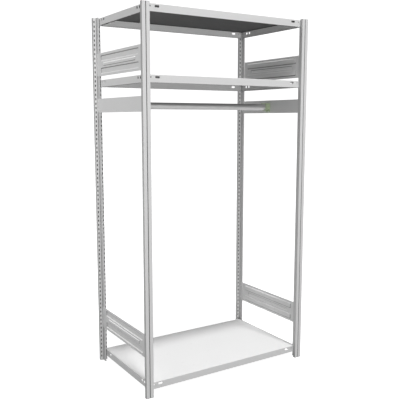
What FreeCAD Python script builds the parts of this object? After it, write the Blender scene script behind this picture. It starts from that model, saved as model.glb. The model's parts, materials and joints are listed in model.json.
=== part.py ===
import FreeCAD, Part
import math
import os
import re
import Sketcher

# Open frame wardrobe: four slotted posts, three tray shelves, pressed side panels and a hanging rail.
# Front is -Y, left is -X, up is +Z. The origin is the centre of the floor area, at floor level.

# Driving dimensions, in millimetres, degrees or counts.
SIZES = {
    # the whole frame, over the outside of its posts
    "overall_width": 1055,
    "overall_depth": 620,
    "overall_height": 2000,
    # post: outer face with a centre groove, side lips, slotted return flanges and a folded centre stem
    "post_width": 43,
    "post_wall": 1.25,
    "lip_depth": 20,
    "return_width": 17,
    "stem_depth": 47,
    "stem_gap": 3,
    "post_bend": 2.5,
    "slot_pitch": 25,
    "slot_width": 6.5,
    "slot_height": 12,
    "slot_edge": 6.5,
    "slot_first": 27.5,
    "slot_top_margin": 20,
    # foot under each post
    "foot_sole": 3,
    "foot_strip": 10,
    "plug_height": 10,
    "plug_play": 0.5,
    # shelf tray
    "shelf_edge": 38,
    "shelf_sheet": 1.2,
    "shelf_lip": 14,
    "shelf_bend": 2,
    "shelf_side_gap": 3.25,
    "shelf_front_play": 0.5,
    "edge_slot_length": 25,
    "edge_slot_height": 10.5,
    "edge_slot_corner": 3,
    "edge_slot_place": 66,
    "edge_hole": 8,
    "edge_hole_place": 28,
    "edge_hole_drop": 12.5,
    "side_hole": 14,
    "side_hole_place": 55,
    "side_hole_step": 28,
    # shelf clip: a plate on the return flange, a tongue under the shelf and a hook through one slot
    "clip_sheet": 2,
    "clip_width": 12,
    "clip_reach": 22,
    "clip_upstand": 14,
    "clip_hang": 13.5,
    "middle_clip_hang": 1,
    "middle_clip_steps": 14,
    "hook_height": 4.5,
    "hook_drop": 6,
    "hook_play": 0.3,
    # side panel: two sunk fields and one raised bead between them
    "panel_sheet": 1.2,
    "panel_height": 126,
    "panel_end_gap": 2,
    "upper_panel_drop": 196,
    "lower_panel_top": 333,
    "field_depth": 5,
    "field_height": 32,
    "field_edge": 13,
    "field_end": 53,
    "field_corner": 9,
    "bead_depth": 3,
    "bead_height": 18.5,
    "bead_corner": 6,
    "bead_end": 88,
    "press_slope": 40,
    "panel_rivet_edge": 25,
    # rail carrier: a flat bar from stem to stem
    "carrier_sheet": 2,
    "carrier_height": 78,
    "carrier_drop": 445,
    "carrier_rivet_edge": 18,
    # rivets through panels, carriers and stems
    "rivet_hole": 6.2,
    "rivet_shank": 6,
    "rivet_head": 10,
    "rivet_head_height": 1.4,
    "rivet_head_round": 1,
    "rivet_tail": 8.5,
    "rivet_tail_height": 2,
    # hanging rail
    "rail_diameter": 38,
    "rail_wall": 1.5,
    "rail_back": 20,
    "rail_drop": 42,
    "rail_end_gap": 0.75,
    "rail_play": 0.3,
    # rail socket: a base on the carrier, an open cradle and a rib below it
    "socket_base": 5,
    "socket_below": 31,
    "socket_above": 24,
    "socket_corner": 4,
    "cradle_wall": 3.5,
    "cradle_length": 29,
    "rib_width": 4,
    "screw_shank": 4,
    "screw_hole": 4.4,
    "screw_head": 8,
    "screw_head_height": 2.4,
    "screw_head_round": 1,
    "screw_spread": 26,
    "screw_foot": 5.5,
    # how far every cut runs past the faces it cuts
    "overrun": 1,
}

# Places worked out from the driving dimensions, counted from the outer front left corner at floor level.
PLACES = {
    "post_centre": "post_width / 2",
    "stem_left": "post_centre - stem_gap / 2 - post_wall",
    "stem_right": "post_centre + stem_gap / 2 + post_wall",
    "inner_bend": "post_bend - post_wall",
    "slot_steps": "floor((overall_height - slot_top_margin - slot_first) / slot_pitch)",
    "slot_floor": "slot_first - slot_height / 2",
    "top_clip_floor": "slot_floor + slot_pitch * slot_steps",
    "middle_clip_floor": "slot_floor + slot_pitch * (slot_steps - middle_clip_steps)",
    "bottom_clip_floor": "slot_floor + slot_pitch",
    "shelf_side": "stem_right + shelf_side_gap",
    "shelf_front": "lip_depth + clip_sheet + shelf_front_play",
    "shelf_right": "overall_width - shelf_side",
    "shelf_rear": "overall_depth - shelf_front",
    "hole_level": "shelf_edge - edge_hole_drop",
    "panel_front": "lip_depth + panel_end_gap",
    "panel_rear": "overall_depth - panel_front",
    "upper_panel_floor": "overall_height - upper_panel_drop - panel_height",
    "lower_panel_floor": "lower_panel_top - panel_height",
    "carrier_floor": "overall_height - carrier_drop - carrier_height",
    "rivet_front": "(lip_depth + stem_depth) / 2",
    "rivet_rear": "overall_depth - rivet_front",
    "rail_row": "overall_depth / 2 + rail_back",
    "rail_level": "overall_height - carrier_drop - rail_drop",
    "cradle_inside": "rail_diameter / 2 + rail_play",
    "cradle_outside": "cradle_inside + cradle_wall",
    "cradle_start": "stem_left + socket_base",
    "screw_front": "rail_row - screw_spread / 2",
    "screw_rear": "rail_row + screw_spread / 2",
    "screw_level": "rail_level - socket_below + screw_foot",
}

document = FreeCAD.newDocument("open_frame_wardrobe")
sheet = document.addObject("Spreadsheet::Sheet", "sizes")
for row, (alias, number) in enumerate(SIZES.items(), start=1):
    sheet.set(f"A{row}", alias)
    sheet.set(f"B{row}", str(number))
    sheet.setAlias(f"B{row}", alias)
document.recompute()


# Expressions

def bound(text):
    """Spell out an expression so that every name in it leads to a cell of the sheet."""
    def cell(match):
        word = match.group(0)
        if word in PLACES:
            return f"({bound(PLACES[word])})"
        return f"sizes.{word}" if word in SIZES else word
    return re.sub(r"[a-z_]+", cell, text)


def value(text):
    """The present number that an expression gives."""
    return float(sheet.evalExpression(bound(text)))


# Sketches

def new_body(label, level="0"):
    """A body whose own origin is the outer front left corner of the frame, lifted to a level."""
    body = document.addObject("PartDesign::Body", label)
    body.Label = label
    body.setExpression("Placement.Base.x", bound("-overall_width / 2"))
    body.setExpression("Placement.Base.y", bound("-overall_depth / 2"))
    body.setExpression("Placement.Base.z", bound(level))
    return body


def origin_feature(body, role):
    return next(item for item in body.Origin.OriginFeatures if item.Role == role)


def new_sketch(body, plane, offset="0"):
    """An empty sketch on one of the body's origin planes, moved along the plane's normal."""
    sketch = body.newObject("Sketcher::SketchObject", "outline")
    sketch.AttachmentSupport = (origin_feature(body, plane), [""])
    sketch.MapMode = "FlatFace"
    sketch.setExpression("AttachmentOffset.Base.z", bound(offset))
    return sketch


def tie(sketch, constraint, text):
    number = sketch.addConstraint(constraint)
    sketch.setExpression(f"Constraints[{number}]", bound(text))


def tie_point(sketch, geometry, end, across, up):
    tie(sketch, Sketcher.Constraint("DistanceX", -1, 1, geometry, end, value(across)), across)
    tie(sketch, Sketcher.Constraint("DistanceY", -1, 1, geometry, end, value(up)), up)


def draw_polygon(sketch, points):
    """A closed outline with straight sides through points, each a pair of expressions."""
    corners = [FreeCAD.Vector(value(across), value(up), 0) for across, up in points]
    first = sketch.GeometryCount
    for start, end in zip(corners, corners[1:] + corners[:1]):
        sketch.addGeometry(Part.LineSegment(start, end))
    for index, (across, up) in enumerate(points):
        following = first + (index + 1) % len(points)
        sketch.addConstraint(Sketcher.Constraint("Coincident", first + index, 2, following, 1))
        tie_point(sketch, first + index, 1, across, up)


def draw_rectangle(sketch, left, low, right, high):
    draw_polygon(sketch, [(left, low), (right, low), (right, high), (left, high)])


def draw_circle(sketch, across, up, diameter):
    centre = FreeCAD.Vector(value(across), value(up), 0)
    upward = FreeCAD.Vector(0, 0, 1)
    circle = sketch.addGeometry(Part.Circle(centre, upward, value(diameter) / 2))
    tie_point(sketch, circle, 3, across, up)
    tie(sketch, Sketcher.Constraint("Diameter", circle, value(diameter)), diameter)


def draw_rounded(sketch, left, low, right, high, radius):
    """A rectangle with four equal corner arcs."""
    reach = value(radius)
    near = FreeCAD.Vector(value(left) + reach, value(low) + reach, 0)
    far = FreeCAD.Vector(value(right) - reach, value(high) - reach, 0)
    upward = FreeCAD.Vector(0, 0, 1)
    centres = [(near.x, near.y), (far.x, near.y), (far.x, far.y), (near.x, far.y)]
    arcs = []
    for quarter, (across, up) in enumerate(centres):
        start = math.pi + quarter * math.pi / 2
        circle = Part.Circle(FreeCAD.Vector(across, up, 0), upward, reach)
        arcs.append(sketch.addGeometry(Part.ArcOfCircle(circle, start, start + math.pi / 2)))
    for index, arc in enumerate(arcs):
        following = arcs[(index + 1) % len(arcs)]
        start = sketch.getPoint(arc, 2)
        side = sketch.addGeometry(Part.LineSegment(start, sketch.getPoint(following, 1)))
        sketch.addConstraint(Sketcher.Constraint("Tangent", arc, 2, side, 1))
        sketch.addConstraint(Sketcher.Constraint("Tangent", side, 2, following, 1))
        sketch.addConstraint(Sketcher.Constraint("Vertical" if index % 2 else "Horizontal", side))
    for arc in arcs[1:]:
        sketch.addConstraint(Sketcher.Constraint("Equal", arcs[0], arc))
    tie(sketch, Sketcher.Constraint("Radius", arcs[0], reach), radius)
    tie_point(sketch, arcs[0], 3, f"{left} + {radius}", f"{low} + {radius}")
    tie_point(sketch, arcs[2], 3, f"{right} - {radius}", f"{high} - {radius}")


# Features

def extrude(body, kind, sketch, length, along_normal, slope=None):
    """Pad or pocket a sketch, and make sure that it added or removed something."""
    before = body.Shape.Volume if body.Tip else 0
    feature = body.newObject(f"PartDesign::{kind}", kind)
    feature.Profile = sketch
    feature.setExpression("Length", bound(length))
    feature.Reversed = along_normal == (kind == "Pocket")
    if slope:
        feature.setExpression("TaperAngle", bound(f"-{slope}"))
    document.recompute()
    change = body.Shape.Volume - before
    if (change > 0) != (kind == "Pad") or abs(change) < Part.Precision.confusion():
        raise RuntimeError(f"{body.Label}: a {kind} changed the volume by {change}")
    return feature


def pad(body, sketch, length, along_normal=True, slope=None):
    return extrude(body, "Pad", sketch, length, along_normal, slope)


def pocket(body, sketch, length, along_normal=True, slope=None):
    return extrude(body, "Pocket", sketch, length, along_normal, slope)


def same(first, second):
    return abs(first - second) < Part.Precision.confusion()


def upright_edges(shape, points):
    """Names of the straight vertical edges that stand on the given points."""
    places = [(value(across), value(deep)) for across, deep in points]
    names = []
    for number, edge in enumerate(shape.Edges, start=1):
        ends = [vertex.Point for vertex in edge.Vertexes]
        for across, deep in places:
            if len(ends) == 2 and all(same(end.x, across) and same(end.y, deep) for end in ends):
                names.append(f"Edge{number}")
    return names


def edges_at_height(shape, level):
    """Names of the edges that lie wholly at one height."""
    return [f"Edge{number}" for number, edge in enumerate(shape.Edges, start=1)
            if same(edge.BoundBox.ZMin, value(level)) and same(edge.BoundBox.ZMax, value(level))]


def round_edges(body, names, radius):
    base = body.Tip
    feature = body.newObject("PartDesign::Fillet", "rounding")
    feature.Base = (base, names)
    feature.setExpression("Radius", bound(radius))
    document.recompute()


def mirrored(source, label, normal):
    """The same piece on the other side of the middle of the frame."""
    piece = document.addObject("Part::Mirroring", label)
    piece.Label = label
    piece.Source = source
    piece.Normal = normal
    return piece


ACROSS = FreeCAD.Vector(1, 0, 0)
DEEP = FreeCAD.Vector(0, 1, 0)


def on_both_sides(left, name):
    """A left piece and its mirror image on the right."""
    return [left, mirrored(left, f"{name}_right", ACROSS)]


def on_four_corners(front_left, name):
    """A front left piece and its mirror images at the other three corners."""
    front_right = mirrored(front_left, f"{name}_front_right", ACROSS)
    rear_left = mirrored(front_left, f"{name}_rear_left", DEEP)
    rear_right = mirrored(front_right, f"{name}_rear_right", DEEP)
    return [front_left, front_right, rear_left, rear_right]


# Posts and feet

RIVET_LEVELS = {
    "side_panel_upper": ("upper_panel_floor + panel_rivet_edge",
                         "upper_panel_floor + panel_height - panel_rivet_edge"),
    "rail_carrier": ("carrier_floor + carrier_rivet_edge",
                     "carrier_floor + carrier_height - carrier_rivet_edge"),
    "side_panel_lower": ("lower_panel_floor + panel_rivet_edge",
                         "lower_panel_floor + panel_height - panel_rivet_edge"),
}


def post_outline():
    """The bent sheet seen from above, from the outer face round to the return flanges and the stem."""
    groove_left = "post_centre - stem_gap / 2"
    groove_right = "post_centre + stem_gap / 2"
    inner_lip = "lip_depth - post_wall"
    return [
        ("0", "0"), (groove_left, "0"), (groove_left, "stem_depth - post_wall"),
        (groove_right, "stem_depth - post_wall"), (groove_right, "0"), ("post_width", "0"),
        ("post_width", "lip_depth"), ("post_width - return_width", "lip_depth"),
        ("post_width - return_width", inner_lip), ("post_width - post_wall", inner_lip),
        ("post_width - post_wall", "post_wall"), ("stem_right", "post_wall"),
        ("stem_right", "stem_depth"), ("stem_left", "stem_depth"), ("stem_left", "post_wall"),
        ("post_wall", "post_wall"), ("post_wall", inner_lip), ("return_width", inner_lip),
        ("return_width", "lip_depth"), ("0", "lip_depth"),
    ]


def bend_post(body):
    """Round the folds of the sheet: outside, inside and at the end of the stem."""
    inner_lip = "lip_depth - post_wall"
    outside = [("0", "0"), ("post_width", "0"), ("0", "lip_depth"), ("post_width", "lip_depth"),
               ("post_centre - stem_gap / 2", "0"), ("post_centre + stem_gap / 2", "0")]
    inside = [("post_wall", "post_wall"), ("post_width - post_wall", "post_wall"),
              ("post_wall", inner_lip), ("post_width - post_wall", inner_lip),
              ("stem_left", "post_wall"), ("stem_right", "post_wall")]
    stem_end = [("stem_left", "stem_depth"), ("stem_right", "stem_depth")]
    for points, radius in ((outside, "post_bend"), (inside, "inner_bend"), (stem_end, "post_wall")):
        round_edges(body, upright_edges(body.Tip.Shape, points), radius)


def punch_slots(body):
    """One slot in each return flange, repeated up the post."""
    sketch = new_sketch(body, "XZ_Plane", "-(lip_depth + overrun)")
    for centre in ("slot_edge", "post_width - slot_edge"):
        draw_rectangle(sketch, f"{centre} - slot_width / 2", "slot_floor",
                       f"{centre} + slot_width / 2", "slot_floor + slot_height")
    first = pocket(body, sketch, "post_wall + 2 * overrun")
    rows = body.newObject("PartDesign::LinearPattern", "slot_rows")
    rows.Originals = [first]
    rows.Direction = (origin_feature(body, "Z_Axis"), [""])
    rows.Mode = "Spacing"
    rows.setExpression("Offset", bound("slot_pitch"))
    rows.setExpression("Occurrences", bound("slot_steps + 1"))
    body.Tip = rows
    document.recompute()


def drill_stem(body):
    """Rivet holes through both walls of the stem."""
    sketch = new_sketch(body, "YZ_Plane", "stem_left - overrun")
    for levels in RIVET_LEVELS.values():
        for level in levels:
            draw_circle(sketch, "rivet_front", level, "rivet_hole")
    pocket(body, sketch, "stem_right - stem_left + 2 * overrun")


def make_posts():
    body = new_body("post_front_left")
    sketch = new_sketch(body, "XY_Plane", "foot_sole")
    draw_polygon(sketch, post_outline())
    pad(body, sketch, "overall_height - foot_sole")
    bend_post(body)
    drill_stem(body)
    punch_slots(body)
    return on_four_corners(body, "post")


def make_feet():
    """A sole under the whole post, with two plugs that stand inside it."""
    body = new_body("post_foot_front_left")
    sketch = new_sketch(body, "XY_Plane")
    strip_left = "post_centre - foot_strip / 2"
    strip_right = "post_centre + foot_strip / 2"
    draw_polygon(sketch, [
        ("0", "0"), ("post_width", "0"), ("post_width", "lip_depth"), (strip_right, "lip_depth"),
        (strip_right, "stem_depth"), (strip_left, "stem_depth"), (strip_left, "lip_depth"),
        ("0", "lip_depth"),
    ])
    pad(body, sketch, "foot_sole")
    plugs = new_sketch(body, "XY_Plane", "foot_sole")
    near, far = "post_wall + plug_play", "lip_depth - post_wall - plug_play"
    draw_rounded(plugs, near, near, "return_width", far, "inner_bend")
    draw_rounded(plugs, "post_width - return_width", near, "post_width - post_wall - plug_play", far,
                 "inner_bend")
    pad(body, plugs, "plug_height")
    return on_four_corners(body, "post_foot")


# Shelves and clips

SHELVES = {
    "top": ("top_clip_floor", "clip_hang"),
    "middle": ("middle_clip_floor", "middle_clip_hang"),
    "bottom": ("bottom_clip_floor", "clip_hang"),
}


def draw_inset(sketch, inset):
    """A rectangle a given distance inside the edge of the shelf."""
    draw_rectangle(sketch, f"shelf_side + {inset}", f"shelf_front + {inset}",
                   f"shelf_right - {inset}", f"shelf_rear - {inset}")


def fold_tray(body):
    """Top sheet with its edges turned down and in."""
    block = new_sketch(body, "XY_Plane")
    draw_inset(block, "0")
    pad(body, block, "shelf_edge")
    corners = [("shelf_side", "shelf_front"), ("shelf_side", "shelf_rear"),
               ("shelf_right", "shelf_front"), ("shelf_right", "shelf_rear")]
    names = upright_edges(body.Tip.Shape, corners) + edges_at_height(body.Tip.Shape, "shelf_edge")
    round_edges(body, names, "shelf_bend")
    hollow = new_sketch(body, "XY_Plane")
    draw_inset(hollow, "shelf_sheet")
    pocket(body, hollow, "shelf_edge - shelf_sheet")
    lip = new_sketch(body, "XY_Plane")
    draw_inset(lip, "shelf_sheet")
    draw_inset(lip, "shelf_lip")
    pad(body, lip, "shelf_sheet")


def punch_tray(body):
    """Slots and holes through the front and rear edges, then holes through the side edges."""
    along = new_sketch(body, "XZ_Plane", "-(shelf_front - overrun)")
    for end, sign in (("shelf_side", "+"), ("shelf_right", "-")):
        centre = f"{end} {sign} edge_slot_place"
        draw_rounded(along, f"{centre} - edge_slot_length / 2", "hole_level - edge_slot_height / 2",
                     f"{centre} + edge_slot_length / 2", "hole_level + edge_slot_height / 2",
                     "edge_slot_corner")
        draw_circle(along, f"{end} {sign} edge_hole_place", "hole_level", "edge_hole")
    pocket(body, along, "shelf_rear - shelf_front + 2 * overrun", along_normal=False)
    aside = new_sketch(body, "YZ_Plane", "shelf_side - overrun")
    for end, sign in (("shelf_front", "+"), ("shelf_rear", "-")):
        for step in ("0", "side_hole_step"):
            draw_circle(aside, f"{end} {sign} (side_hole_place + {step})", "hole_level", "side_hole")
    pocket(body, aside, "shelf_right - shelf_side + 2 * overrun")


def make_shelf(name, floor, hang):
    body = new_body(f"shelf_{name}", f"{floor} - {hang}")
    fold_tray(body)
    punch_tray(body)
    return body


def make_clips(name, floor, hang):
    """A clip whose hook stands on the floor of a slot, with its tongue hanging below that floor."""
    label = f"shelf_clip_{name}"
    body = new_body(f"{label}_front_left", floor)
    plate_back = "lip_depth + clip_sheet"
    tongue_end = f"{plate_back} + clip_reach"
    tongue_floor = f"-({hang} + clip_sheet)"
    plate_top = "hook_height + clip_upstand"
    slot_centre = "post_width - slot_edge"
    bracket = new_sketch(body, "YZ_Plane", f"{slot_centre} - clip_width / 2")
    draw_polygon(bracket, [
        ("lip_depth", tongue_floor), (tongue_end, tongue_floor), (tongue_end, f"-{hang}"),
        (plate_back, f"-{hang}"), (plate_back, plate_top), ("lip_depth", plate_top),
    ])
    pad(body, bracket, "clip_width")
    hook_back = "lip_depth - post_wall - hook_play"
    hook_front = f"{hook_back} - clip_sheet"
    hook = new_sketch(body, "YZ_Plane", f"{slot_centre} - slot_width / 2 + hook_play")
    draw_polygon(hook, [
        ("lip_depth", "0"), ("lip_depth", "hook_height"), (hook_front, "hook_height"),
        (hook_front, "-hook_drop"), (hook_back, "-hook_drop"), (hook_back, "0"),
    ])
    pad(body, hook, "slot_width - 2 * hook_play")
    return on_four_corners(body, label)


# Side panels, carriers and their rivets

def press(body, low, high, end, corner, depth, inward):
    """Press a field out of the panel's sheet: raise a boss on one side, then sink it from the other."""
    start, stop = f"panel_front + {end}", f"panel_rear - {end}"
    boss = new_sketch(body, "YZ_Plane", "stem_left" if inward else "stem_left - panel_sheet")
    draw_rounded(boss, f"{start} - panel_sheet", f"{low} - panel_sheet", f"{stop} + panel_sheet",
                 f"{high} + panel_sheet", f"{corner} + panel_sheet")
    pad(body, boss, depth, along_normal=inward, slope="press_slope")
    sink = new_sketch(body, "YZ_Plane", "stem_left - panel_sheet" if inward else "stem_left")
    draw_rounded(sink, start, low, stop, high, corner)
    pocket(body, sink, depth, along_normal=inward, slope="press_slope")


def drill_ends(body, levels):
    """Rivet holes near both ends of a panel or carrier, in line with the holes in the stems."""
    sketch = new_sketch(body, "YZ_Plane", "stem_left + overrun")
    for row in ("rivet_front", "rivet_rear"):
        for level in levels:
            draw_circle(sketch, row, level, "rivet_hole")
    pocket(body, sketch, "panel_sheet + carrier_sheet + 2 * overrun", along_normal=False)


def make_panel(name, floor):
    """A sheet on the outside of the stems, with a sunk field high and low and a raised bead between."""
    body = new_body(f"{name}_left")
    sheet_outline = new_sketch(body, "YZ_Plane", "stem_left - panel_sheet")
    draw_rectangle(sheet_outline, "panel_front", floor, "panel_rear", f"{floor} + panel_height")
    pad(body, sheet_outline, "panel_sheet")
    upper_edge = f"{floor} + panel_height - field_edge"
    press(body, f"{floor} + field_edge", f"{floor} + field_edge + field_height", "field_end", "field_corner",
          "field_depth", inward=True)
    press(body, f"{upper_edge} - field_height", upper_edge, "field_end", "field_corner",
          "field_depth", inward=True)
    bead_middle = f"{floor} + panel_height / 2"
    press(body, f"{bead_middle} - bead_height / 2", f"{bead_middle} + bead_height / 2", "bead_end",
          "bead_corner", "bead_depth", inward=False)
    drill_ends(body, RIVET_LEVELS[name])
    return on_both_sides(body, name)


def make_carriers():
    """A flat bar on the outside of the stems, drilled for its rivets and for the socket's screws."""
    name = "rail_carrier"
    body = new_body(f"{name}_left")
    bar = new_sketch(body, "YZ_Plane", "stem_left - carrier_sheet")
    draw_rectangle(bar, "panel_front", "carrier_floor", "panel_rear", "carrier_floor + carrier_height")
    pad(body, bar, "carrier_sheet")
    drill_ends(body, RIVET_LEVELS[name])
    screws = new_sketch(body, "YZ_Plane", "stem_left + overrun")
    for row in ("screw_front", "screw_rear"):
        draw_circle(screws, row, "screw_level", "screw_hole")
    pocket(body, screws, "carrier_sheet + 2 * overrun", along_normal=False)
    return on_both_sides(body, name)


def make_rivets(name, thickness):
    """The four rivets of one panel or carrier: heads outside, shanks through the stem, tails inside."""
    label = f"{name}_rivets"
    body = new_body(f"{label}_left")
    body.AllowCompound = True
    head_face = f"stem_left - {thickness}"
    stages = (
        (f"{head_face} - rivet_head_height", "rivet_head", "rivet_head_height"),
        (head_face, "rivet_shank", f"stem_right - stem_left + {thickness}"),
        ("stem_right", "rivet_tail", "rivet_tail_height"),
    )
    for start, diameter, length in stages:
        sketch = new_sketch(body, "YZ_Plane", start)
        for row in ("rivet_front", "rivet_rear"):
            for level in RIVET_LEVELS[name]:
                draw_circle(sketch, row, level, diameter)
        pad(body, sketch, length)
    round_rims(body, f"{head_face} - rivet_head_height", "rivet_head_round")
    return on_both_sides(body, label)


def round_rims(body, across, radius):
    """Round the round rims that lie on one upright plane."""
    shape = body.Tip.Shape
    names = [f"Edge{number}" for number, edge in enumerate(shape.Edges, start=1)
             if same(edge.BoundBox.XMin, value(across)) and same(edge.BoundBox.XMax, value(across))]
    round_edges(body, names, radius)


# Hanging rail and its sockets

def make_rail():
    body = new_body("hanging_rail")
    start = "cradle_start + rail_end_gap"
    tube = new_sketch(body, "YZ_Plane", start)
    draw_circle(tube, "rail_row", "rail_level", "rail_diameter")
    draw_circle(tube, "rail_row", "rail_level", "rail_diameter - 2 * rail_wall")
    pad(body, tube, f"overall_width - 2 * ({start})")
    return body


def make_cradle(body):
    """A trough, round below and straight above, that the rail is laid into from the top."""
    round_part = new_sketch(body, "YZ_Plane", "cradle_start")
    draw_circle(round_part, "rail_row", "rail_level", "2 * cradle_outside")
    pad(body, round_part, "cradle_length")
    arms = new_sketch(body, "YZ_Plane", "cradle_start")
    draw_rectangle(arms, "rail_row - cradle_outside", "rail_level", "rail_row + cradle_outside",
                   "rail_level + socket_above")
    pad(body, arms, "cradle_length")
    trough = new_sketch(body, "YZ_Plane", "cradle_start")
    draw_circle(trough, "rail_row", "rail_level", "2 * cradle_inside")
    pocket(body, trough, "cradle_length + overrun")
    mouth = new_sketch(body, "YZ_Plane", "cradle_start")
    draw_rectangle(mouth, "rail_row - cradle_inside", "rail_level", "rail_row + cradle_inside",
                   "rail_level + socket_above + overrun")
    pocket(body, mouth, "cradle_length + overrun")


def make_sockets():
    name = "rail_socket"
    body = new_body(f"{name}_left")
    base = new_sketch(body, "YZ_Plane", "stem_left")
    draw_rounded(base, "rail_row - cradle_outside", "rail_level - socket_below",
                 "rail_row + cradle_outside", "rail_level + socket_above", "socket_corner")
    pad(body, base, "socket_base")
    make_cradle(body)
    rib = new_sketch(body, "XZ_Plane", "-(rail_row - rib_width / 2)")
    draw_polygon(rib, [
        ("stem_left", "rail_level - socket_below + socket_corner"),
        ("stem_left", "rail_level - cradle_inside"),
        ("cradle_start + cradle_length", "rail_level - cradle_inside - cradle_wall / 2"),
        ("cradle_start + cradle_length", "rail_level - cradle_outside"),
        ("cradle_start", "rail_level - socket_below + socket_corner"),
    ])
    pad(body, rib, "rib_width", along_normal=False)
    holes = new_sketch(body, "YZ_Plane", "stem_left - overrun")
    for row in ("screw_front", "screw_rear"):
        draw_circle(holes, row, "screw_level", "screw_hole")
    pocket(body, holes, "socket_base + 2 * overrun")
    return on_both_sides(body, name)


def make_screws():
    """Two screws from each socket into its carrier, ending flush with the carrier's outer face."""
    name = "socket_screws"
    body = new_body(f"{name}_left")
    body.AllowCompound = True
    stages = (
        ("stem_left - carrier_sheet", "screw_shank", "carrier_sheet + socket_base"),
        ("cradle_start", "screw_head", "screw_head_height"),
    )
    for start, diameter, length in stages:
        sketch = new_sketch(body, "YZ_Plane", start)
        for row in ("screw_front", "screw_rear"):
            draw_circle(sketch, row, "screw_level", diameter)
        pad(body, sketch, length)
    round_rims(body, "cradle_start + screw_head_height", "screw_head_round")
    return on_both_sides(body, name)


# The assembly

def make_pieces():
    pieces = make_posts() + make_feet()
    for name, (floor, hang) in SHELVES.items():
        pieces.append(make_shelf(name, floor, hang))
        pieces += make_clips(name, floor, hang)
    pieces += make_panel("side_panel_upper", "upper_panel_floor")
    pieces += make_panel("side_panel_lower", "lower_panel_floor")
    pieces += make_carriers()
    pieces += make_rivets("side_panel_upper", "panel_sheet")
    pieces += make_rivets("side_panel_lower", "panel_sheet")
    pieces += make_rivets("rail_carrier", "carrier_sheet")
    pieces.append(make_rail())
    pieces += make_sockets() + make_screws()
    document.recompute()
    return pieces


def check(pieces):
    """Stop if any object failed, or if a piece has no sound shape."""
    for item in document.Objects:
        if {"Invalid", "Error"} & set(item.State):
            raise RuntimeError(f"{item.Label} failed: {item.State}")
    for piece in pieces:
        if piece.Shape.isNull() or not piece.Shape.isValid() or piece.Shape.Volume <= 0:
            raise RuntimeError(f"{piece.Label} has no sound shape")


def write(pieces):
    os.makedirs("parts", exist_ok=True)
    for piece in pieces:
        piece.Shape.exportStep(f"parts/{piece.Label}.step")
        print(piece.Label, len(piece.Shape.Solids), round(piece.Shape.Volume))


all_pieces = make_pieces()
check(all_pieces)
write(all_pieces)
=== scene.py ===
import json
import math

import bmesh
import bpy
from mathutils import Matrix, Vector


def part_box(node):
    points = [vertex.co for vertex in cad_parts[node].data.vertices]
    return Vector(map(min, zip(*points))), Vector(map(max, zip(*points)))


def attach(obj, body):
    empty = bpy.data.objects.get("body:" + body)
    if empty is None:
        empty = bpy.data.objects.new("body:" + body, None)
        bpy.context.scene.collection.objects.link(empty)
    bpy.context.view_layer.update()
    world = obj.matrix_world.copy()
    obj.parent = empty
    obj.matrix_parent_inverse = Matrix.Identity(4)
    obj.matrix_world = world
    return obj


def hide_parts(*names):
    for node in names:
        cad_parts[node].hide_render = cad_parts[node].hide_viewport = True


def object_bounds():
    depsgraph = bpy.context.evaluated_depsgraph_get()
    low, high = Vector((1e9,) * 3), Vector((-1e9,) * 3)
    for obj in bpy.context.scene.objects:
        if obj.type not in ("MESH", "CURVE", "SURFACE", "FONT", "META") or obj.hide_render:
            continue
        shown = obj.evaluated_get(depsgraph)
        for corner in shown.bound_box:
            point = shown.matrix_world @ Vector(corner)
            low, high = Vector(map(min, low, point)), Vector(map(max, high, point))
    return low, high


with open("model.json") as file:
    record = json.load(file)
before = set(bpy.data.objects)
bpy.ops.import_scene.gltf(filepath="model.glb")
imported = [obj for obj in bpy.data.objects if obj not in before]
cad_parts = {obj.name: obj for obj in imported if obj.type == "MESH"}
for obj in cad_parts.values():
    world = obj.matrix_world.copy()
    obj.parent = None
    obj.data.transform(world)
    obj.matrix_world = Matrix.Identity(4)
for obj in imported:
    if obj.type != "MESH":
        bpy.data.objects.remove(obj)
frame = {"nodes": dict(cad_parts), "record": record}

cad_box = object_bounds()


# Shader maths

class Socket:
    """An output of a finish's nodes. Sums and products of sockets add the nodes that work them out."""

    def __init__(self, finish, output):
        self.finish = finish
        self.output = output

    def maths(self, operation, first, second):
        return self.finish.node("ShaderNodeMath", {"operation": operation}, {0: first, 1: second})

    def __add__(self, other):
        return self.maths("ADD", self, other)

    __radd__ = __add__

    def __sub__(self, other):
        return self.maths("SUBTRACT", self, other)

    def __rsub__(self, other):
        return self.maths("SUBTRACT", other, self)

    def __mul__(self, other):
        return self.maths("MULTIPLY", self, other)

    __rmul__ = __mul__


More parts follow.
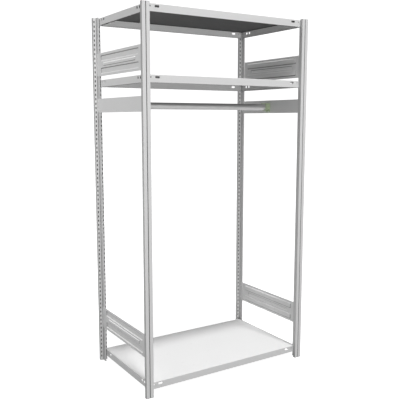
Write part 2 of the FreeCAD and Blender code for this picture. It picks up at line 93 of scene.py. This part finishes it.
class Finish:
    """A material under construction, with its nodes and its shader."""

    def __init__(self, name):
        self.material = bpy.data.materials.new(name)
        self.material.use_nodes = True
        self.tree = self.material.node_tree
        self.shader = self.tree.nodes["Principled BSDF"]

    def feed(self, socket, value):
        if isinstance(value, Socket):
            self.tree.links.new(value.output, socket)
        else:
            socket.default_value = value

    def node(self, kind, settings=None, sockets=None, output=0):
        """A node of one kind: its settings come first, then the values or links of its sockets."""
        made = self.tree.nodes.new(kind)
        for name, setting in (settings or {}).items():
            setattr(made, name, setting)
        for name, value in (sockets or {}).items():
            self.feed(made.inputs[name], value)
        return Socket(self, made.outputs[output])

    def surface(self, **sockets):
        """Feed the shader, with its socket names written in small letters."""
        for name, value in sockets.items():
            self.feed(self.shader.inputs[name.replace("_", " ").title()], value)
        return self.material

    def place(self):
        return self.node("ShaderNodeTexCoord", output="Object")

    def stretched(self, stretch):
        return self.node("ShaderNodeMapping", None, {"Vector": self.place(), "Scale": stretch})

    def noise(self, scale, detail=2.0, stretch=None):
        where = self.stretched(stretch) if stretch else self.place()
        return self.node("ShaderNodeTexNoise", None, {"Vector": where, "Scale": scale, "Detail": detail})

    def ramp(self, value, start, stop):
        """Zero below start, one above stop, and smooth between."""
        return self.node("ShaderNodeMapRange", {"interpolation_type": "SMOOTHSTEP"},
                         {"Value": value, "From Min": start, "From Max": stop})

    def mix(self, factor, first, second, blend="MIX"):
        return self.node("ShaderNodeMix", {"data_type": "RGBA", "blend_type": blend},
                         {0: factor, 6: first, 7: second}, output=2)

    def shaded(self, where, tint, share):
        """A tint that is lighter or darker by a share where a mask is one."""
        return self.mix(where, tint, grey(share), "MULTIPLY")

    def bump(self, height, distance):
        return self.node("ShaderNodeBump", None, {"Height": height, "Distance": distance})

    def alike(self, first, second):
        """One where two directions agree, minus one where they are opposite."""
        return self.node("ShaderNodeVectorMath", {"operation": "DOT_PRODUCT"}, {0: first, 1: second},
                         output="Value")

    def normal(self):
        return self.node("ShaderNodeNewGeometry", output="Normal")

    def edges(self, radius):
        """A mask of the edges sharper than a small radius."""
        soft = self.node("ShaderNodeBevel", {"samples": 4}, {"Radius": radius})
        return 1.0 - self.alike(soft, self.normal())

    def openness(self, reach):
        """One in the open, and less in grooves and hollows that close within a reach."""
        return self.node("ShaderNodeAmbientOcclusion", {"samples": 8}, {"Distance": reach}, "AO")


def grey(level):
    return (level, level, level, 1.0)


# Powder coats

DOWN = (0.0, 0.0, -1.0)
ACROSS = (1.0, 0.0, 0.0)
DEEP = (0.0, 1.0, 0.0)
COAT_LEVEL = 0.72
COAT_SHINE = 0.25
COAT_ROUGHNESS = 0.36
CLOUD_SCALE = 5.0
CLOUD_SHARE = 0.025
CLOUD_ROUGHNESS = 0.1
MARK_SCALE = 40.0
MARK_STRETCH = (1.0, 1.0, 0.2)
MARK_RANGE = (0.62, 0.75)
MARK_WEIGHT = 0.12
MARK_SHARE = 0.7
MARK_ROUGHNESS = 0.12
WEAR_RADIUS = 0.0012
WEAR_SCALE = 90.0
WEAR_RANGE = (0.04, 0.2)
WEAR_WEIGHT = 0.35
WEAR_SHARE = 1.12
PEEL_SCALE = 700.0
PEEL_WEIGHT = 0.8
PEEL_HEIGHT = 0.00012
GRAIN_SCALE = 2600.0
GRAIN_WEIGHT = 0.2
HOLLOW_SHADE_REACH = 0.03
HOLLOW_SHADE_RANGE = (0.15, 0.5)
HOLLOW_SHADE_LEVEL = 0.08


def coat_layers(finish):
    """The colour, roughness and relief of a powder coat: orange peel, faint clouds, marks and thin edges.
    Narrow grooves and the inside of hollow sections are painted dark, as painted shade."""
    finish.shader.inputs["Specular IOR Level"].default_value = COAT_SHINE
    cloud = finish.noise(CLOUD_SCALE, detail=3.0)
    marks = finish.ramp(finish.noise(MARK_SCALE, detail=4.0, stretch=MARK_STRETCH), *MARK_RANGE)
    peel = finish.noise(PEEL_SCALE)
    grain = finish.noise(GRAIN_SCALE)
    worn = finish.ramp(finish.edges(WEAR_RADIUS) * finish.noise(WEAR_SCALE, detail=3.0), *WEAR_RANGE)
    coat = finish.mix(cloud, grey(COAT_LEVEL * (1.0 - CLOUD_SHARE)), grey(COAT_LEVEL * (1.0 + CLOUD_SHARE)))
    coat = finish.mix(marks * MARK_WEIGHT, coat, grey(COAT_LEVEL * MARK_SHARE))
    coat = finish.mix(worn * WEAR_WEIGHT, coat, grey(COAT_LEVEL * WEAR_SHARE))
    # Painted shade: grooves and hollows that close within a reach are painted dark.
    coat = finish.mix(finish.ramp(finish.openness(HOLLOW_SHADE_REACH), *HOLLOW_SHADE_RANGE), grey(HOLLOW_SHADE_LEVEL), coat)
    roughness = COAT_ROUGHNESS + CLOUD_ROUGHNESS * cloud + MARK_ROUGHNESS * marks
    return coat, roughness, finish.bump(peel * PEEL_WEIGHT + grain * GRAIN_WEIGHT, PEEL_HEIGHT)


def powder_coat(name):
    """Light grey powder coat."""
    finish = Finish(name)
    coat, roughness, relief = coat_layers(finish)
    return finish.surface(base_color=coat, roughness=roughness, normal=relief)


SIDE_SHADE_RANGE = (0.4, 0.8)
SIDE_SHADE_SHARE = 0.8
LIP_SHADE_START = cad_box[1].x - 0.002
LIP_SHADE_END = cad_box[1].x - 0.0005
LIP_SHADE_SHARE = 0.6


def post_coat_with_painted_shade(name):
    """The same coat, with painted shade on all that faces sideways, and most of all on the outer lips."""
    finish = Finish(name)
    coat, roughness, relief = coat_layers(finish)
    facing = finish.alike(finish.normal(), ACROSS)
    sideways_shade = finish.ramp(facing * facing, *SIDE_SHADE_RANGE)
    place = finish.alike(finish.place(), ACROSS)
    outer = finish.ramp(place * place, LIP_SHADE_START ** 2, LIP_SHADE_END ** 2)
    # Painted shade: faces that look sideways are darker, the outer lips most.
    coat = finish.shaded(sideways_shade * (1.0 - outer), coat, SIDE_SHADE_SHARE)
    coat = finish.shaded(sideways_shade * outer, coat, LIP_SHADE_SHARE)
    return finish.surface(base_color=coat, roughness=roughness, normal=relief)


SLOPE_SHADE_AND_HIGHLIGHT_RANGE = (0.15, 0.6)
LOW_SHADE_SHARE = 0.3
UP_HIGHLIGHT_SHARE = 1.5
OUTSIDE_HIGHLIGHT_RANGE = (0.0, 0.1)
INSIDE_HIGHLIGHT_WEIGHT = 0.5
END_SHADE_RANGE = (0.05, 0.35)
END_SHADE_SHARE = 0.6


def panel_coat_with_painted_light(name):
    """The same coat, with painted shade on pressed slopes that face down or along the panel, and a painted
    highlight on those that face up, most of all outside."""
    finish = Finish(name)
    coat, roughness, relief = coat_layers(finish)
    down = finish.alike(finish.normal(), DOWN)
    deep = finish.alike(finish.normal(), DEEP)
    away = finish.alike(finish.normal(), ACROSS) * finish.alike(finish.place(), ACROSS)
    outside_for_highlight = finish.ramp(away, *OUTSIDE_HIGHLIGHT_RANGE)
    high = finish.ramp(0.0 - down, *SLOPE_SHADE_AND_HIGHLIGHT_RANGE) * (INSIDE_HIGHLIGHT_WEIGHT + (1.0 - INSIDE_HIGHLIGHT_WEIGHT) * outside_for_highlight)
    # Painted shade on slopes that face down, a painted highlight on slopes that face up (the high mask), and
    # painted shade on slopes that face along the panel.
    coat = finish.shaded(finish.ramp(down, *SLOPE_SHADE_AND_HIGHLIGHT_RANGE), coat, LOW_SHADE_SHARE)
    coat = finish.shaded(high, coat, UP_HIGHLIGHT_SHARE)
    coat = finish.shaded(finish.ramp(deep * deep, *END_SHADE_RANGE), coat, END_SHADE_SHARE)
    return finish.surface(base_color=coat, roughness=roughness, normal=relief)


UNDER_SHADE_RANGE = (0.5, 0.8)
UNDER_SHADE_LEVEL = 0.13
UNDERSIDE_ROUGHNESS = 0.5
STREAK_SCALE = 24.0
STREAK_STRETCH = (0.3, 1.0, 1.0)
STREAK_SHARE = 0.1
FOLD_SHADE_REACH = 0.05
FOLD_SHADE_RANGE = (0.45, 0.85)
FOLD_SHADE_SHARE = 0.35


def shelf_coat_with_painted_shade(name):
    """The same coat on top and sides, and painted shade on all that faces down: a streaky dark grey, darkest
    along the folds."""
    finish = Finish(name)
    coat, roughness, relief = coat_layers(finish)
    # Painted shade: all that faces down is dark grey, and darker still along the folds.
    under_shade = finish.ramp(finish.alike(finish.normal(), DOWN), *UNDER_SHADE_RANGE)
    streaks = finish.noise(STREAK_SCALE, detail=4.0, stretch=STREAK_STRETCH)
    under_shade_tint = finish.mix(streaks, grey(UNDER_SHADE_LEVEL * (1.0 - STREAK_SHARE)),
                        grey(UNDER_SHADE_LEVEL * (1.0 + STREAK_SHARE)))
    unfolded = finish.ramp(finish.openness(FOLD_SHADE_REACH), *FOLD_SHADE_RANGE)
    under_shade_tint = finish.mix(unfolded, grey(UNDER_SHADE_LEVEL * FOLD_SHADE_SHARE), under_shade_tint)
    return finish.surface(base_color=finish.mix(under_shade, coat, under_shade_tint),
                          roughness=roughness + UNDERSIDE_ROUGHNESS * under_shade, normal=relief)


# Bare steel and plastic

STEEL_DARK = (0.46, 0.46, 0.465, 1.0)
STEEL_LIGHT = (0.54, 0.535, 0.53, 1.0)
STEEL_METAL = 0.5
STEEL_ROUGHNESS = 0.28
STAIN_SCALE = 14.0
SCRATCH_SCALE = 300.0
SCRATCH_STRETCH = (0.02, 1.0, 1.0)
SCRATCH_ROUGHNESS = 0.12
SCRATCH_HEIGHT = 0.00005


def satin_steel(name):
    """Drawn steel tube with a thin clear grey coat and fine scratches along it."""
    finish = Finish(name)
    scratches = finish.noise(SCRATCH_SCALE, detail=3.0, stretch=SCRATCH_STRETCH)
    stain = finish.noise(STAIN_SCALE, detail=3.0)
    return finish.surface(base_color=finish.mix(stain, STEEL_DARK, STEEL_LIGHT), metallic=STEEL_METAL,
                          roughness=STEEL_ROUGHNESS + SCRATCH_ROUGHNESS * scratches,
                          normal=finish.bump(scratches, SCRATCH_HEIGHT))


ZINC_DARK = (0.5, 0.52, 0.54, 1.0)
ZINC_LIGHT = (0.66, 0.67, 0.68, 1.0)
ZINC_ROUGHNESS = 0.34
SPANGLE_SCALE = 260.0
SPANGLE_ROUGHNESS = 0.14
SPANGLE_HEIGHT = 0.00003


def zinc_plate(name):
    """Zinc plated steel with a soft spangle."""
    finish = Finish(name)
    cells = finish.node("ShaderNodeTexVoronoi", None, {"Vector": finish.place(), "Scale": SPANGLE_SCALE},
                        "Color")
    spangle = finish.node("ShaderNodeSeparateColor", None, {"Color": cells}, "Red")
    return finish.surface(base_color=finish.mix(spangle, ZINC_DARK, ZINC_LIGHT), metallic=1.0,
                          roughness=ZINC_ROUGHNESS + SPANGLE_ROUGHNESS * spangle,
                          normal=finish.bump(spangle, SPANGLE_HEIGHT))


GREEN_DARK = (0.34, 0.41, 0.27, 1.0)
GREEN_LIGHT = (0.42, 0.5, 0.335, 1.0)
GREEN_ROUGHNESS = 0.42
FLOW_SCALE = 55.0
FLOW_STRETCH = (0.4, 1.0, 1.0)
MOULD_SCALE = 1800.0
MOULD_ROUGHNESS = 0.16
MOULD_HEIGHT = 0.00006


def green_plastic(name):
    """Pale sage green moulded plastic."""
    finish = Finish(name)
    flow = finish.noise(FLOW_SCALE, detail=3.0, stretch=FLOW_STRETCH)
    grain = finish.noise(MOULD_SCALE)
    return finish.surface(base_color=finish.mix(flow, GREEN_DARK, GREEN_LIGHT),
                          roughness=GREEN_ROUGHNESS + MOULD_ROUGHNESS * grain,
                          normal=finish.bump(grain, MOULD_HEIGHT))


FOOT_LEVEL = 0.42
FOOT_ROUGHNESS = 0.5
FOOT_GRAIN_SCALE = 1500.0
FOOT_GRAIN_HEIGHT = 0.00008
DUST_LEVEL = 0.55
DUST_SCALE = 60.0
DUST_RANGE = (0.4, 0.8)
DUST_ROUGHNESS = 0.2


def grey_plastic(name):
    """Light grey moulded plastic, a little dusty."""
    finish = Finish(name)
    dust = finish.ramp(finish.noise(DUST_SCALE, detail=4.0), *DUST_RANGE)
    grain = finish.noise(FOOT_GRAIN_SCALE)
    return finish.surface(base_color=finish.mix(dust, grey(FOOT_LEVEL), grey(DUST_LEVEL)),
                          roughness=FOOT_ROUGHNESS + DUST_ROUGHNESS * dust,
                          normal=finish.bump(grain, FOOT_GRAIN_HEIGHT))


# Finishes of the pieces

FINISHES = {
    "powder_coat": powder_coat("powder_coat"),
    "rail_steel": satin_steel("rail_steel"),
    "zinc_steel": zinc_plate("zinc_steel"),
    "socket_plastic": green_plastic("socket_plastic"),
    "foot_plastic": grey_plastic("foot_plastic"),
}
SHELF_COAT_WITH_PAINTED_SHADE = shelf_coat_with_painted_shade("shelf_coat_with_painted_shade")
POST_COAT_WITH_PAINTED_SHADE = post_coat_with_painted_shade("post_coat_with_painted_shade")
PANEL_COAT_WITH_PAINTED_LIGHT = panel_coat_with_painted_light("panel_coat_with_painted_light")
OWN_COATS = {f"shelf_{level}": SHELF_COAT_WITH_PAINTED_SHADE for level in ("top", "middle", "bottom")}
OWN_COATS.update({f"post_{row}_{side}": POST_COAT_WITH_PAINTED_SHADE for row in ("front", "rear") for side in ("left", "right")})
SLOTS = {part["node"]: part["material_slot"] for part in frame["record"]["subparts"]}


def dress_nodes():
    """Give shelves and posts their own coats, and every other CAD node the finish of its slot."""
    for node, piece in frame["nodes"].items():
        piece.data.materials.clear()
        piece.data.materials.append(OWN_COATS.get(node) or FINISHES[SLOTS[node]])


dress_nodes()


# Studio

CAMERA_PLACE = (-1.85739, -2.92054, 1.44588)
CAMERA_TILT = math.radians(82.17)
CAMERA_TURN = math.radians(-32.4)
IMAGE_SIDE = 400
FOCAL_PIXELS = 594.98
STUDIO_RADIUS = 30.0
STUDIO_STEPS = 64
PAPER_DARK = 0.3
PAPER_LIGHT = 0.32
PAPER_ROUGHNESS = 0.9
PAPER_SCALE = 30.0
SKY_LEVEL = 0.3
GROUND_LEVEL = 0.14
HORIZON_SPREAD = 0.15
WHITE_LEVEL = 1.1
FLOOR_GLOW = 0.95
KEY_RISE = math.radians(72.0)
KEY_SPREAD = math.radians(8.0)
KEY_STRENGTH = 0.79
FILL_PLACE = Vector((0.0, -3.0, 2.0))
FILL_TARGET = Vector((0.0, -0.29, 2.0))
FILL_WIDTH = 2.0
FILL_STRENGTH = 0.52
SIDE_PLACE = Vector((-1.6, 0.1, 1.4))
SIDE_TARGET = Vector((-0.51, 0.0, 1.4))
SIDE_WIDTH = 2.0
SIDE_STRENGTH = 1.02
REAR_WAY = Vector((0.7, 0.72, 0.0))
REAR_STRENGTH = 0.42


def link(thing):
    bpy.context.scene.collection.objects.link(thing)
    return thing


def place_camera():
    """The photo's viewpoint, in plain display colours."""
    data = bpy.data.cameras.new("camera")
    data.lens = FOCAL_PIXELS * data.sensor_width / IMAGE_SIDE
    camera = link(bpy.data.objects.new("camera", data))
    camera.location = CAMERA_PLACE
    camera.rotation_euler = (CAMERA_TILT, 0.0, CAMERA_TURN)
    bpy.context.scene.camera = camera
    bpy.context.scene.view_settings.view_transform = "Standard"


def stage_piece(name, shape, finish, mirrored):
    """A part of the studio that throws no light on the object, and that may show in its gloss."""
    mesh = bpy.data.meshes.new(name)
    shape.to_mesh(mesh)
    shape.free()
    mesh.materials.append(finish)
    piece = link(bpy.data.objects.new(name, mesh))
    piece.visible_diffuse = False
    piece.visible_glossy = mirrored
    piece.visible_shadow = False


def build_room():
    """A pale round floor under a plain white dome."""
    paper = Finish("floor_paper")
    tone = paper.mix(paper.noise(PAPER_SCALE), grey(PAPER_DARK), grey(PAPER_LIGHT))
    floor = bmesh.new()
    bmesh.ops.create_circle(floor, cap_ends=True, segments=STUDIO_STEPS, radius=STUDIO_RADIUS)
    stage_piece("floor", floor, paper.surface(
        base_color=tone, roughness=PAPER_ROUGHNESS, emission_color=grey(1.0),
        emission_strength=FLOOR_GLOW), True)
    cloth = Finish("dome_cloth")
    dome = bmesh.new()
    bmesh.ops.create_uvsphere(dome, u_segments=STUDIO_STEPS, v_segments=STUDIO_STEPS // 2,
                              radius=STUDIO_RADIUS)
    stage_piece("dome", dome, cloth.surface(
        base_color=grey(0.0), emission_color=grey(1.0), emission_strength=WHITE_LEVEL), False)


def light_room():
    """An even soft light from all round, weaker from below."""
    world = bpy.data.worlds.new("studio")
    world.use_nodes = True
    bpy.context.scene.world = world
    nodes, links = world.node_tree.nodes, world.node_tree.links
    way = nodes.new("ShaderNodeTexCoord")
    split = nodes.new("ShaderNodeSeparateXYZ")
    ramp = nodes.new("ShaderNodeMapRange")
    ramp.interpolation_type = "SMOOTHSTEP"
    for name, value in {"From Min": -HORIZON_SPREAD, "From Max": HORIZON_SPREAD,
                        "To Min": GROUND_LEVEL, "To Max": SKY_LEVEL}.items():
        ramp.inputs[name].default_value = value
    links.new(way.outputs["Generated"], split.inputs["Vector"])
    links.new(split.outputs["Z"], ramp.inputs["Value"])
    links.new(ramp.outputs["Result"], nodes["Background"].inputs["Strength"])
    nodes["Background"].inputs["Color"].default_value = grey(1.0)


def add_lamp(name, kind, way, settings):
    """A lamp that shines against a direction."""
    data = bpy.data.lights.new(name, kind)
    for setting, value in settings.items():
        setattr(data, setting, value)
    lamp = link(bpy.data.objects.new(name, data))
    lamp.rotation_euler = way.to_track_quat("Z", "Y").to_euler()
    lamp.visible_camera = False
    return lamp


def add_near_lamp(name, place, target, width, strength, settings):
    """A square lamp at a place, whose strength is what reaches its target."""
    way = place - target
    energy = strength * (math.pi * way.length) ** 2
    lamp = add_lamp(name, "AREA", way, {"energy": energy, "size": width, **settings})
    lamp.location = place


def add_lamps():
    """A high lamp from the front, a shadowless fill that fades downwards, a lamp that fades to the right, and
    a shadowless one for the rear and right sides."""
    add_lamp("key", "SUN", Vector((0.0, -math.cos(KEY_RISE), math.sin(KEY_RISE))),
             {"energy": KEY_STRENGTH * math.pi, "angle": KEY_SPREAD})
    add_near_lamp("fill", FILL_PLACE, FILL_TARGET, FILL_WIDTH, FILL_STRENGTH, {"use_shadow": False})
    add_near_lamp("side", SIDE_PLACE, SIDE_TARGET, SIDE_WIDTH, SIDE_STRENGTH, {})
    rear = add_lamp("rear", "SUN", REAR_WAY, {"energy": REAR_STRENGTH * math.pi, "use_shadow": False})
    rear.visible_glossy = False


place_camera()
build_room()
light_room()
add_lamps()


# Shapes for new pieces

CORNER_STEPS = 6
BEND_STEPS = 3
TURN_STEPS = 36
SHARP_ANGLE = math.radians(38.0)
WELD = 0.000001
AXIS = Vector((0.0, 0.0, 1.0))
CENTRE = Vector((0.0, 0.0, 0.0))
SIDES = {"left": -1.0, "right": 1.0}


def new_piece(name, shape, finish, node):
    """Finish a shape as a piece of the frame that stands for a CAD node."""
    bmesh.ops.recalc_face_normals(shape, faces=shape.faces[:])
    for face in shape.faces:
        face.smooth = True
    mesh = bpy.data.meshes.new(name)
    shape.to_mesh(mesh)
    shape.free()
    mesh.set_sharp_from_angle(angle=SHARP_ANGLE)
    mesh.materials.append(finish)
    piece = link(bpy.data.objects.new(name, mesh))
    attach(piece, "frame")
    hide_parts(node)


def outward(side):
    """Turns a shape that faces up along Z so that it faces out of the left or right side."""
    return Matrix(((0.0, 0.0, side), (side, 0.0, 0.0), (0.0, 1.0, 0.0))).to_4x4()


def added(shape, before):
    return [vert for vert in shape.verts if vert not in before]


def settle(shape, before, place):
    """Move all that was added since before from the centre to its place."""
    bmesh.ops.transform(shape, verts=added(shape, before), matrix=place)


def rounded_face(shape, width, height, middle, corner):
    """A flat face with round corners, square to Z."""
    before = set(shape.faces)
    place = Matrix.Translation((0.0, middle, 0.0)) @ Matrix.Diagonal((width, height, 1.0, 1.0))
    made = bmesh.ops.create_grid(shape, x_segments=1, y_segments=1, size=0.5, matrix=place)
    bmesh.ops.bevel(shape, geom=made["verts"], offset=corner, segments=CORNER_STEPS, profile=0.5,
                    affect="VERTICES", material=-1)
    return next(face for face in shape.faces if face not in before)


def closed_chain(shape, points):
    """A closed ring of edges through points."""
    verts = [shape.verts.new(point) for point in points]
    return [shape.edges.new(pair) for pair in zip(verts, verts[1:] + verts[:1])]


def pushed(shape, face, way, keep):
    """Extrude a face, and give the face at the far end."""
    made = bmesh.ops.extrude_face_region(shape, geom=[face], use_keep_orig=keep)["geom"]
    bmesh.ops.translate(shape, verts=[item for item in made if isinstance(item, bmesh.types.BMVert)], vec=way)
    return next(item for item in made if isinstance(item, bmesh.types.BMFace))


def turned(shape, profile):
    """Spin a line of radius and height pairs once round Z."""
    before = set(shape.verts)
    line = [shape.verts.new((radius, 0.0, height)) for radius, height in profile]
    links = [shape.edges.new(pair) for pair in zip(line, line[1:])]
    bmesh.ops.spin(shape, geom=line + links, axis=AXIS, cent=CENTRE, angle=2 * math.pi, steps=TURN_STEPS,
                   use_merge=True)
    bmesh.ops.remove_doubles(shape, verts=added(shape, before), dist=WELD)


def soften(shape, edges, offset):
    bmesh.ops.bevel(shape, geom=edges, offset=offset, segments=BEND_STEPS, profile=0.5, affect="EDGES",
                    material=-1)


# Pressed side panels

PANEL_SHEET = 0.0012
PANEL_CORNER = 0.003
FIELD_DEPTH = 0.005
FIELD_HEIGHT = 0.032
FIELD_EDGE = 0.013
FIELD_END = 0.053
FIELD_CORNER = 0.009
BEAD_DEPTH = 0.003
BEAD_HEIGHT = 0.0185
BEAD_END = 0.088
BEAD_CORNER = 0.006
PRESS_SLOPE = math.radians(40.0)
PRESS_MARGIN = 0.002
PRESS_BEND = 0.0012


def press(shape, face, depth):
    """Sink or raise a face with sloping sides and rounded bends."""
    def step(run, rise):
        return bmesh.ops.inset_individual(shape, faces=[face], thickness=run, depth=rise,
                                          use_even_offset=True)["faces"]
    step(PRESS_MARGIN, 0.0)
    sides = set(step(abs(depth) * math.tan(PRESS_SLOPE), depth))
    step(PRESS_MARGIN, 0.0)
    soften(shape, [edge for edge in shape.edges if len(sides.intersection(edge.link_faces)) == 1], PRESS_BEND)


def pressed_panel(length, height):
    """A sheet with a sunk field high and low and a raised bead between, faced up and centred."""
    shape = bmesh.new()
    rim = rounded_face(shape, length, height, 0.0, PANEL_CORNER)
    bmesh.ops.delete(shape, geom=[rim], context="FACES_ONLY")
    level = height / 2 - FIELD_EDGE - FIELD_HEIGHT / 2
    forms = [(level, FIELD_END, FIELD_HEIGHT, FIELD_CORNER, -FIELD_DEPTH),
             (0.0, BEAD_END, BEAD_HEIGHT, BEAD_CORNER, BEAD_DEPTH),
             (-level, FIELD_END, FIELD_HEIGHT, FIELD_CORNER, -FIELD_DEPTH)]
    pressed = []
    for middle, end, tall, corner, depth in forms:
        face = rounded_face(shape, length - 2 * (end - PRESS_MARGIN), tall + 2 * PRESS_MARGIN, middle,
                            corner + PRESS_MARGIN)
        pressed.append((face, depth))
    bmesh.ops.triangle_fill(shape, use_beauty=True, edges=shape.edges[:], normal=AXIS)
    for face, depth in pressed:
        press(shape, face, depth)
    bmesh.ops.recalc_face_normals(shape, faces=shape.faces[:])
    bmesh.ops.solidify(shape, geom=shape.faces[:], thickness=PANEL_SHEET)
    return shape


def make_panels():
    for level in ("upper", "lower"):
        for side, sign in SIDES.items():
            node = f"side_panel_{level}_{side}"
            low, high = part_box(node)
            outer = max(abs(low.x), abs(high.x)) - BEAD_DEPTH
            shape = pressed_panel(high.y - low.y, high.z - low.z)
            middle = Vector((sign * outer, (low.y + high.y) / 2, (low.z + high.z) / 2))
            settle(shape, set(), Matrix.Translation(middle) @ outward(sign))
            new_piece(f"pressed_{level}_panel_{side}", shape, PANEL_COAT_WITH_PAINTED_LIGHT, node)


# Rivets

RIVET_HEAD = 0.005
RIVET_SHANK = 0.003
RIVET_TAIL = 0.00425
TAIL_HEIGHT = 0.002
HEAD_LINE = [(0.0, -0.0009), (0.0014, -0.0009), (0.0015, -0.0002), (0.0018, 0.0), (0.0034, -0.0002),
             (0.0045, -0.0007), (RIVET_HEAD, -0.0014)]
TAIL_LINE = [(RIVET_TAIL, 0.0), (RIVET_TAIL, -0.0011), (0.0036, -0.0017), (0.0022, -TAIL_HEIGHT),
             (0.0016, -0.0019), (0.0015, -0.0015), (0.0, -0.0015)]


def rivet(shape, length):
    """A blind rivet with its head at the top: a low dome with a pit, a shank and a bulged tail."""
    under_head = HEAD_LINE[-1][1]
    tail = TAIL_HEIGHT - length
    shank = [(RIVET_SHANK, under_head), (RIVET_SHANK, tail)]
    turned(shape, HEAD_LINE + shank + [(radius, tail + height) for radius, height in TAIL_LINE])


def make_rivets():
    for holder in ("side_panel_upper", "side_panel_lower", "rail_carrier"):
        for side, sign in SIDES.items():
            node = f"{holder}_rivets_{side}"
            low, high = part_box(node)
            shape = bmesh.new()
            for row in (low.y + RIVET_HEAD, high.y - RIVET_HEAD):
                for level in (low.z + RIVET_HEAD, high.z - RIVET_HEAD):
                    before = set(shape.verts)
                    rivet(shape, high.x - low.x)
                    head = Vector((high.x if sign > 0.0 else low.x, row, level))
                    settle(shape, before, Matrix.Translation(head) @ outward(sign))
            new_piece(f"domed_{holder}_rivets_{side}", shape, FINISHES["powder_coat"], node)


# Rail sockets and their screws

SOCKET_BASE = 0.005
SOCKET_BELOW = 0.031
SOCKET_ABOVE = 0.024
SOCKET_CORNER = 0.004
CRADLE_INSIDE = 0.0193
CRADLE_OUTSIDE = 0.0228
CRADLE_START = 0.0045
CRADLE_END = 0.034
COLLAR_LENGTH = 0.005
COLLAR_STEP = 0.0013
RIB_WIDTH = 0.004
RIB_FOOT = 0.027
SOCKET_ROUND = 0.0006
SCREW_HEAD = 0.004
SCREW_SHANK = 0.002
SCREW_LINE = [(0.003, 0.0), (0.0036, -0.0003), (SCREW_HEAD, -0.0011), (SCREW_HEAD, -0.0024),
              (SCREW_SHANK, -0.0024)]
CROSS_ARM = 0.002
CROSS_HALF = 0.0005
CROSS_SLOPE = 0.0002
CROSS_DEPTH = 0.0014


def socket_base(shape):
    """A flat base with round corners and a soft front rim."""
    face = rounded_face(shape, 2 * CRADLE_OUTSIDE, SOCKET_BELOW + SOCKET_ABOVE,
                        (SOCKET_ABOVE - SOCKET_BELOW) / 2, SOCKET_CORNER)
    front = pushed(shape, face, AXIS * SOCKET_BASE, True)
    soften(shape, front.edges[:], SOCKET_ROUND)


def socket_cradle(shape):
    """A trough with a thicker collar at its mouth, half round below and straight above."""
    neck = CRADLE_OUTSIDE - COLLAR_STEP
    collar = CRADLE_END - COLLAR_LENGTH
    profile = [(CRADLE_INSIDE, CRADLE_START), (CRADLE_INSIDE, CRADLE_END), (CRADLE_OUTSIDE, CRADLE_END),
               (CRADLE_OUTSIDE, collar), (neck, collar - COLLAR_STEP), (neck, CRADLE_START)]
    edges = closed_chain(shape, [(-radius, 0.0, height) for radius, height in profile])
    verts = [edge.verts[0] for edge in edges]
    far = bmesh.ops.spin(shape, geom=verts + edges, axis=AXIS, cent=CENTRE, angle=math.pi,
                         steps=TURN_STEPS)["geom_last"]
    for ring in (edges, [item for item in far if isinstance(item, bmesh.types.BMEdge)]):
        cap = bmesh.ops.contextual_create(shape, geom=ring)["faces"][0]
        arm = pushed(shape, cap, Vector((0.0, SOCKET_ABOVE, 0.0)), False)
        soften(shape, arm.edges[:], SOCKET_ROUND)


def socket_rib(shape):
    """A rib from the foot of the base to the mouth of the trough."""
    middle = (CRADLE_INSIDE + CRADLE_OUTSIDE) / 2
    points = [(CRADLE_START, -RIB_FOOT), (CRADLE_START, -middle), (CRADLE_END, -middle),
              (CRADLE_END, -CRADLE_OUTSIDE), (SOCKET_BASE, -RIB_FOOT)]
    edges = closed_chain(shape, [(-RIB_WIDTH / 2, up, deep) for deep, up in points])
    face = bmesh.ops.contextual_create(shape, geom=edges)["faces"][0]
    far = pushed(shape, face, Vector((RIB_WIDTH, 0.0, 0.0)), True)
    soften(shape, face.edges[:] + far.edges[:], SOCKET_ROUND)


def make_sockets():
    for side, sign in SIDES.items():
        node = f"rail_socket_{side}"
        low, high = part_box(node)
        shape = bmesh.new()
        socket_base(shape)
        socket_cradle(shape)
        socket_rib(shape)
        back = Vector((high.x if sign > 0.0 else low.x, (low.y + high.y) / 2, low.z + SOCKET_BELOW))
        settle(shape, set(), Matrix.Translation(back) @ outward(-sign))
        new_piece(f"moulded_rail_socket_{side}", shape, FINISHES["socket_plastic"], node)


def screw(shape, length):
    """A screw with its head at the top: a low dome with a cross recess, and a plain shank."""
    turned(shape, SCREW_LINE + [(SCREW_SHANK, -length), (0.0, -length)])
    rim = [edge for edge in shape.edges if edge.is_boundary]
    quarter = [(CROSS_HALF, CROSS_ARM), (-CROSS_HALF, CROSS_ARM), (-CROSS_HALF, CROSS_HALF)]
    cross = []
    for turn in range(4):
        spot = Matrix.Rotation(turn * math.pi / 2, 3, "Z")
        cross += [spot @ Vector((across, up, 0.0)) for across, up in quarter]
    edges = closed_chain(shape, cross)
    bmesh.ops.triangle_fill(shape, use_beauty=True, edges=rim + edges, normal=AXIS)
    recess = bmesh.ops.contextual_create(shape, geom=edges)["faces"][0]
    bmesh.ops.inset_individual(shape, faces=[recess], thickness=CROSS_SLOPE, depth=-CROSS_DEPTH,
                               use_even_offset=True)


def make_screws():
    for side, sign in SIDES.items():
        node = f"socket_screws_{side}"
        low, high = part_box(node)
        shape = bmesh.new()
        for row in (low.y + SCREW_HEAD, high.y - SCREW_HEAD):
            before = set(shape.verts)
            screw(shape, high.x - low.x)
            head = Vector((low.x if sign > 0.0 else high.x, row, (low.z + high.z) / 2))
            settle(shape, before, Matrix.Translation(head) @ outward(-sign))
        new_piece(f"cross_head_socket_screws_{side}", shape, FINISHES["zinc_steel"], node)


make_panels()
make_rivets()
make_sockets()
make_screws()
